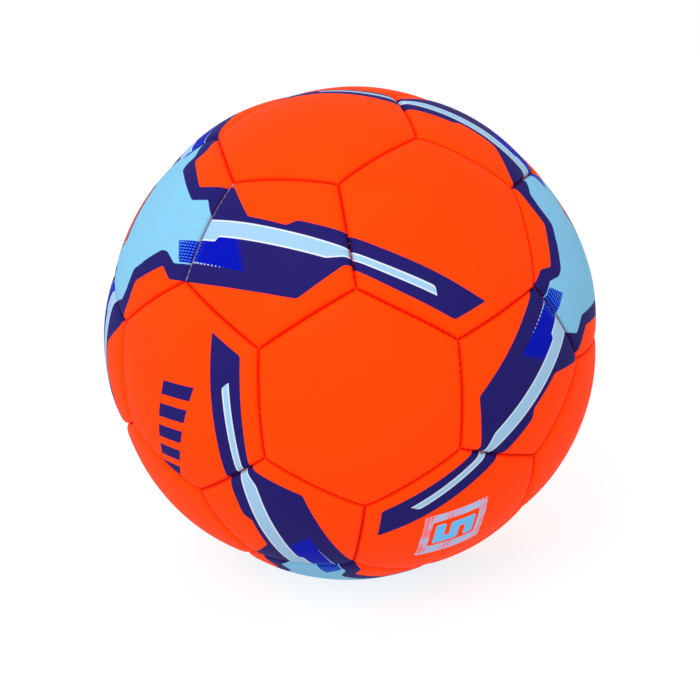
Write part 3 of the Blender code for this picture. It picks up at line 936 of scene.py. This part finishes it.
def lay_core(bm, frames):
    """A closed six-sided length of thread through a row of frames."""
    circle = bmesh.ops.create_circle(
        bm, cap_ends=True, segments=6, radius=CORE_RADIUS, matrix=frames[0],
    )
    face = circle["verts"][0].link_faces[0]
    for before, after in zip(frames, frames[1:]):
        grown = bmesh.ops.extrude_face_region(bm, geom=[face])["geom"]
        verts = [item for item in grown if isinstance(item, bmesh.types.BMVert)]
        bmesh.ops.transform(bm, matrix=after @ before.inverted(), verts=verts)
        face = next(item for item in grown if isinstance(item, bmesh.types.BMFace))


def lay_loops(bm, start, end, count, thread):
    """The loops of the red thread, 0, or the pale one, 1, counted from a seam's start."""
    lie_along = Matrix.Rotation(math.radians(90.0), 4, "X")
    shape = Matrix.Diagonal((*LOOP_SIZES[thread], 1.0)) @ lie_along
    for i in range(count):
        seat = on_seam(start, end, (i + 0.5) / STITCHES, LOOP_RADII[thread])
        loop = bmesh.ops.create_uvsphere(
            bm, u_segments=6, v_segments=5, radius=1.0, matrix=seat @ shape,
        )
        for face in {face for vert in loop["verts"] for face in vert.link_faces}:
            face.material_index = thread


whole_seam = [step / CORE_STEPS for step in range(CORE_STEPS + 1)]
half_seam = [SPOKE_SHARE * step / (CORE_STEPS // 2) for step in range(CORE_STEPS // 2 + 1)]
turn_by = seam_turn(pentagons[0])
for number, corners in enumerate(pentagons, start=1):
    bm = bmesh.new()
    middle = middle_of(corners)
    for i, corner in enumerate(corners):
        # Round the pentagon.
        following = corners[(i + 1) % 5]
        lay_core(bm, [on_seam(corner, following, share, THREAD_RADIUS) for share in whole_seam])
        seam_middle = (corner + following).normalized()
        # Of a pentagon's seams, only the one with its star has its middle so near a star's.
        by_star = max(seam_middle.dot(star) for star in star_middles) > 0.9
        closing = by_star and number == CLOSING_PANEL
        lay_loops(bm, corner, following, STITCHES, int(closing))
        # Half of the seam that leaves its corner.
        outward = (corner * middle.dot(corner) - middle).normalized()
        far_corner = corner * math.cos(turn_by) + outward * math.sin(turn_by)
        lay_core(bm, [on_seam(corner, far_corner, share, THREAD_RADIUS) for share in half_seam])
        lay_loops(bm, corner, far_corner, STITCHES // 2, 0)
    bmesh.ops.recalc_face_normals(bm, faces=bm.faces[:])
    piece = finished_piece(f"stitches_seam_thread_{number:02d}", bm)
    fit_piece(piece, f"seam_thread_{number:02d}", red_thread)
    if number == CLOSING_PANEL:
        piece.data.materials.append(pale_thread)


# ---- Valve body ------------------------------------------------------------------------
# A moulded rubber plug whose face shows in the middle of the back star. Its flange is
# bonded under the panel and its boss hangs in the bladder. All its sizes are in millimetres
# from the axis and from the ball's centre.

VALVE_STEPS = 48
BODY_OUTLINE = ((0.8, 108.9), (1.0, 109.25), (1.5, 109.4), (1.8, 109.3), (2.4, 109.15),
                (3.2, 109.2), (3.8, 109.45), (4.1, 109.35), (4.2, 109.0), (4.2, 104.6),
                (4.5, 104.25), (9.0, 103.9), (13.6, 103.3), (14.0, 103.0), (13.8, 102.25),
                (9.0, 102.7), (5.9, 102.9), (5.5, 102.5), (5.5, 92.5), (5.1, 92.1),
                (1.6, 92.1), (1.6, 96.9), (2.9, 96.9), (2.9, 107.5), (0.8, 107.5))


def turned(outline, steps):
    """A closed outline of (from the axis, from the ball's centre) in mm, spun round +Y."""
    bm = bmesh.new()
    verts = [bm.verts.new((reach * MM, 0.0, height * MM)) for reach, height in outline]
    edges = [bm.edges.new((verts[i - 1], vert)) for i, vert in enumerate(verts)]
    bmesh.ops.spin(
        bm, geom=verts + edges, cent=(0.0, 0.0, 0.0), axis=(0.0, 0.0, 1.0),
        dvec=(0.0, 0.0, 0.0), angle=math.tau, steps=steps, use_merge=True, use_duplicate=False,
    )
    bmesh.ops.remove_doubles(bm, verts=bm.verts[:], dist=0.001 * MM)
    bmesh.ops.dissolve_degenerate(bm, edges=bm.edges[:], dist=0.001 * MM)
    face_back = Matrix.Rotation(math.radians(-90.0), 4, "X")
    bmesh.ops.transform(bm, matrix=face_back, verts=bm.verts[:])
    bmesh.ops.recalc_face_normals(bm, faces=bm.faces[:])
    return bm


def moulded_rubber(name, dark, light, roughness, mould_scale):
    """Moulded rubber: matt, with a soft mottle and the fine texture of its mould."""
    made = bpy.data.materials.new(name)
    made.use_nodes = True
    tree = made.node_tree
    shader = tree.nodes["Principled BSDF"]
    on_ball = add_node(tree, "ShaderNodeTexCoord").outputs["Object"]
    # Patches of 15 mm or so.
    bloom = add_node(tree, "ShaderNodeTexNoise", {"Vector": on_ball, "Scale": 60.0, "Detail": 4.0})
    colour = add_node(
        tree, "ShaderNodeMix", {0: bloom.outputs[0], 6: paint(dark), 7: paint(light)},
        data_type="RGBA",
    )
    grain = add_node(
        tree, "ShaderNodeTexNoise", {"Vector": on_ball, "Scale": mould_scale, "Detail": 3.0},
    )
    bump = add_node(
        tree, "ShaderNodeBump",
        {"Height": grain.outputs[0], "Strength": 0.4, "Distance": 0.03 * MM},
    )
    gloss = add_node(
        tree, "ShaderNodeMapRange",
        {"Value": bloom.outputs[0], "To Min": roughness - 0.08, "To Max": roughness + 0.08},
    )
    tree.links.new(colour.outputs[2], shader.inputs["Base Color"])
    tree.links.new(bump.outputs[0], shader.inputs["Normal"])
    tree.links.new(gloss.outputs[0], shader.inputs["Roughness"])
    shader.inputs["IOR"].default_value = 1.52
    return made


# Mould texture of 0.5 mm.
cream_rubber = moulded_rubber("moulded_rubber_cream", "D8D0BC", "EDE8DA", 0.55, 2000.0)
valve_body = finished_piece("valve_plug", turned(BODY_OUTLINE, VALVE_STEPS))
fit_piece(valve_body, "valve_body", cream_rubber)


# ---- Valve insert ----------------------------------------------------------------------
# A soft silicone sleeve pushed into the valve's chamber. The needle goes in at its top and
# opens the slit at its closed foot, which shuts again when the needle is drawn.

INSERT_OUTLINE = ((0.8, 106.9), (1.0, 107.2), (2.3, 107.2), (2.6, 106.9), (2.6, 97.6),
                  (2.2, 97.2), (0.0, 97.2), (0.0, 100.2), (0.8, 100.2))
# Mould texture of 0.4 mm.
silicone = moulded_rubber("moulded_silicone_grey", "B4B1A9", "CECBC3", 0.42, 2500.0)
insert = finished_piece("needle_sleeve", turned(INSERT_OUTLINE, VALVE_STEPS))
fit_piece(insert, "valve_insert", silicone)


# ---- Bladder patch ---------------------------------------------------------------------
# A disc of butyl rubber vulcanised round the valve's hole, which spreads its pull over the
# bladder's wall.

PATCH_STEPS = 72
ARC_STEPS = 10


def shell_arc(radius, reach_from, reach_to):
    """Points on a sphere about the ball's centre, in millimetres."""
    stretch = (reach_to - reach_from) / ARC_STEPS
    reaches = [reach_from + stretch * i for i in range(ARC_STEPS + 1)]
    return [(reach, math.sqrt(radius ** 2 - reach ** 2)) for reach in reaches]


# Mould texture of 0.8 mm, and a dull bloom.
butyl = moulded_rubber("moulded_butyl_black", "121315", "222428", 0.50, 1250.0)
patch_outline = shell_arc(101.96, 5.8, 19.7) + shell_arc(102.76, 19.5, 5.8)
patch = finished_piece("bladder_patch", turned(patch_outline, PATCH_STEPS))
fit_piece(patch, "valve_patch", butyl)


# ---- Bladder ---------------------------------------------------------------------------
# A butyl rubber balloon, moulded in two halves and vulcanised along a low band round its
# middle. It holds the air and presses the panels out.

BLADDER_STEPS = 96
# Radii of the balloon and of its hole, and the height of its band, in millimetres.
BLADDER_OUTSIDE = 101.6
BLADDER_INSIDE = 100.6
BLADDER_HOLE = 5.8
BAND_HEIGHT = 0.25
MOULD_BAND = 2.5  # half the band's width, in degrees
HALF_STEPS = 24  # from the band to the hole or the far side


def bladder_outline():
    """The outside with its band, from the valve's hole to the far side, then the inside."""
    start = math.degrees(math.asin(BLADDER_HOLE / BLADDER_OUTSIDE))
    shares = [i / HALF_STEPS for i in range(HALF_STEPS + 1)]
    angles = [start + (90.0 - MOULD_BAND - start) * share for share in shares]
    angles += [90.0 - MOULD_BAND * 0.7, 90.0 + MOULD_BAND * 0.7]
    angles += [90.0 + MOULD_BAND + (90.0 - MOULD_BAND) * share for share in shares]
    outline = []
    for shell, band_height, order in ((BLADDER_OUTSIDE, BAND_HEIGHT, 1), (BLADDER_INSIDE, 0.0, -1)):
        points = []
        for angle in angles:
            off_band = abs(angle - 90.0) > MOULD_BAND * 0.8
            radius = shell - band_height if off_band else shell
            turn_by = math.radians(angle)
            points.append((radius * math.sin(turn_by), radius * math.cos(turn_by)))
        points[-1] = (0.0, points[-1][1])
        outline += points[::order]
    return outline


bladder = finished_piece("air_bladder", turned(bladder_outline(), BLADDER_STEPS))
fit_piece(bladder, "bladder", butyl)


# ---- Floor, light and camera -----------------------------------------------------------
# A floor of white acrylic, lit from below as on a light table, that runs to the horizon, an
# even white surround, a soft lamp high on the left, and the camera a little above the ball.

ball_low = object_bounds()[0]
bm = bmesh.new()
bmesh.ops.create_circle(
    bm, cap_ends=True, segments=64, radius=30.0,
    matrix=Matrix.Translation((0.0, 0.0, ball_low.z)),
)
floor = finished_piece("studio_floor", bm)
lit_acrylic = bpy.data.materials.new("white_acrylic_lit_from_below")
lit_acrylic.use_nodes = True
# It gives off light, which leaves it white round the ball and only just shaded below it.
shader = lit_acrylic.node_tree.nodes["Principled BSDF"]
shader.inputs["Base Color"].default_value = paint("7E7E7E")
shader.inputs["Roughness"].default_value = 0.9
shader.inputs["Specular IOR Level"].default_value = 0.0
shader.inputs["Emission Color"].default_value = paint("FFFFFF")
shader.inputs["Emission Strength"].default_value = 0.8
floor.data.materials.append(lit_acrylic)

world = bpy.data.worlds.new("white_surround")
world.use_nodes = True
surround = world.node_tree.nodes["Background"]
surround.inputs["Color"].default_value = (1.0, 1.0, 1.0, 1.0)
surround.inputs["Strength"].default_value = 1.0
bpy.context.scene.world = world


def add_lamp(name, place, size, power):
    """A square soft lamp that faces the ball."""
    lamp = bpy.data.lights.new(name, "AREA")
    lamp.shape = "SQUARE"
    lamp.size = size
    lamp.energy = power
    holder = bpy.data.objects.new(name, lamp)
    bpy.context.collection.objects.link(holder)
    holder.location = place
    holder.rotation_euler = (-Vector(place)).to_track_quat("-Z", "Y").to_euler()


add_lamp("soft_lamp_upper_left", (-0.8, -1.6, 1.5), 1.2, 35.0)

camera_data = bpy.data.cameras.new("camera")
camera = bpy.data.objects.new("camera", camera_data)
bpy.context.collection.objects.link(camera)
camera_data.lens = 65.6
camera_data.sensor_width = 36.0
camera_data.shift_x = -0.002
camera_data.shift_y = -0.025
camera_data.clip_start = 0.01
camera_data.clip_end = 100.0
# The camera looks 15 degrees down at the ball's centre from 0.58 m, tilted a little.
swing = Matrix.Rotation(math.radians(-1.52), 4, "Z")
lift = Matrix.Rotation(math.radians(90.0 - 15.09), 4, "X")
tilt = Matrix.Rotation(math.radians(-2.22), 4, "Z")
camera.matrix_world = swing @ lift @ tilt @ Matrix.Translation((0.0, 0.0, 0.577))
bpy.context.scene.camera = camera
bpy.context.scene.view_settings.view_transform = "Standard"
